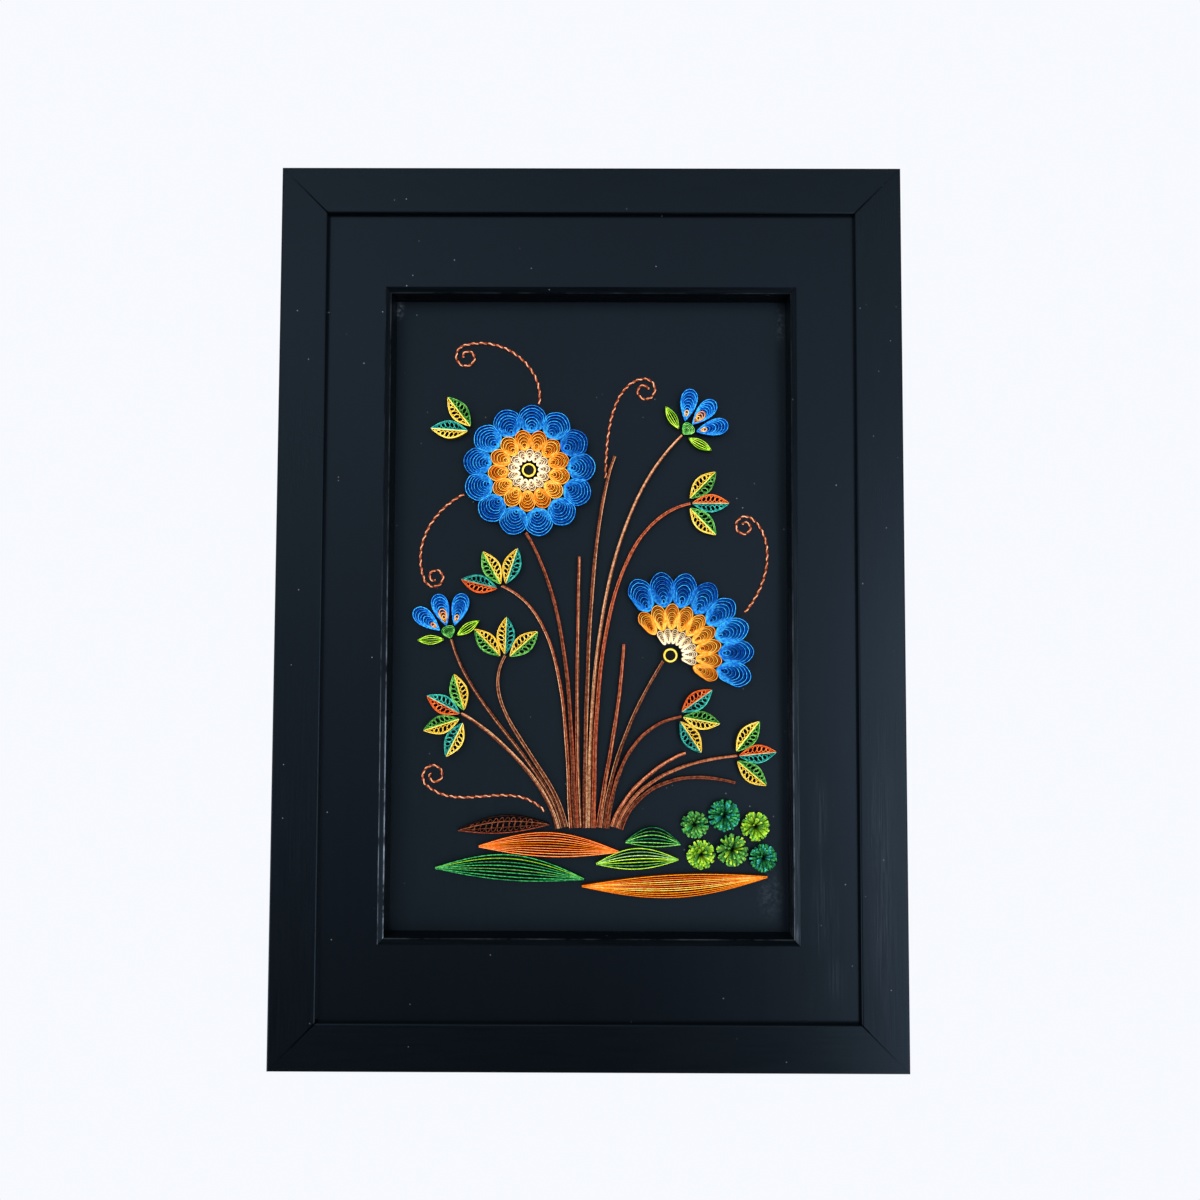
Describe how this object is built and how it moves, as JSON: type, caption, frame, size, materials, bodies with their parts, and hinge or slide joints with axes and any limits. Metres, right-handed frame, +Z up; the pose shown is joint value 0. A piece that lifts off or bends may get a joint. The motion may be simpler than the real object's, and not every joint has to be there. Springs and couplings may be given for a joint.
{
  "type": "framed quilled paper art",
  "caption": "Black wooden box frame, with a window board, round a deep-set picture of flowers made of paper strips glued on edge; hangs on the wall.",
  "frame": {"origin": "the wall nail, under the middle notch of the sawtooth hanger, in the plane of the frame's back", "axes": "+Z up along the frame's long side, +X to the right of a viewer, +Y into the wall, so the picture faces -Y"},
  "size_m": [0.4, 0.0323, 0.574],
  "materials": {
    "bare_wood": "planed softwood",
    "black_card": "matt black card",
    "black_painted_board": "satin black paint",
    "black_painted_wood": "satin black paint over fine-grained wood",
    "black_paper": "tightly wound paper",
    "blue_paper": "paper strips on edge",
    "brassed_steel": "brassed sheet steel",
    "brown_hardboard": "smooth brown hardboard",
    "brown_paper": "paper strips on edge",
    "copper_paper": "twisted paper cord",
    "cream_paper": "paper strips on edge",
    "dark_green_paper": "paper strips on edge",
    "green_paper": "paper strips on edge",
    "mint_paper": "paper strips on edge",
    "orange_paper": "paper strips on edge",
    "salmon_paper": "paper strips on edge",
    "steel": "plain bright steel",
    "teal_paper": "paper strips on edge",
    "yellow_green_paper": "paper strips on edge"
  },
  "bodies": {
    "root": {"back_board": "brown_hardboard", "batten_bottom": "bare_wood", "batten_left": "bare_wood", "batten_right": "bare_wood", "batten_top": "bare_wood", "bed_blade_back_left": "brown_paper", "bed_blade_back_right": "dark_green_paper", "bed_blade_front_left": "dark_green_paper", "bed_blade_front_right": "orange_paper", "bed_blade_middle_left": "salmon_paper", "bed_blade_middle_right": "mint_paper", "bottom_rail": "black_painted_wood", "corner_nails": "steel", "framers_points": "steel", "hanger_nails": "steel", "leaves_bottom_left": "teal_paper", "leaves_bottom_right": "teal_paper", "leaves_left_bud": "teal_paper", "leaves_middle_left": "teal_paper", "leaves_side_stem": "teal_paper", "leaves_top_left": "teal_paper", "leaves_top_right": "teal_paper", "left_bud_calyx": "green_paper", "left_bud_petals": "blue_paper", "left_stile": "black_painted_wood", "lower_blossom_eye": "black_paper", "lower_blossom_heart": "cream_paper", "lower_blossom_inner_petals": "orange_paper", "lower_blossom_petals": "blue_paper", "picture_board": "black_card", "pompom_back_left": "green_paper", "pompom_back_middle": "teal_paper", "pompom_back_right": "yellow_green_paper", "pompom_front_left": "yellow_green_paper", "pompom_front_middle": "green_paper", "pompom_front_right": "teal_paper", "right_bud_calyx": "green_paper", "right_bud_petals": "blue_paper", "right_stile": "black_painted_wood", "sawtooth_hanger": "brassed_steel", "slip_bottom": "black_painted_board", "slip_left": "black_painted_board", "slip_right": "black_painted_board", "slip_top": "black_painted_board", "stem_left_bud": "brown_paper", "stem_lower_blossom": "brown_paper", "stem_right_bud": "brown_paper", "stem_side": "brown_paper", "stem_upper_blossom": "brown_paper", "tendril_bottom_left": "copper_paper", "tendril_left": "copper_paper", "tendril_right": "copper_paper", "tendril_top_left": "copper_paper", "tendril_top_right": "copper_paper", "top_rail": "black_painted_wood", "upper_blossom_eye": "black_paper", "upper_blossom_heart": "cream_paper", "upper_blossom_inner_petals": "orange_paper", "upper_blossom_petals": "blue_paper", "window_board": "black_painted_board"}
  },
  "joints": []
}
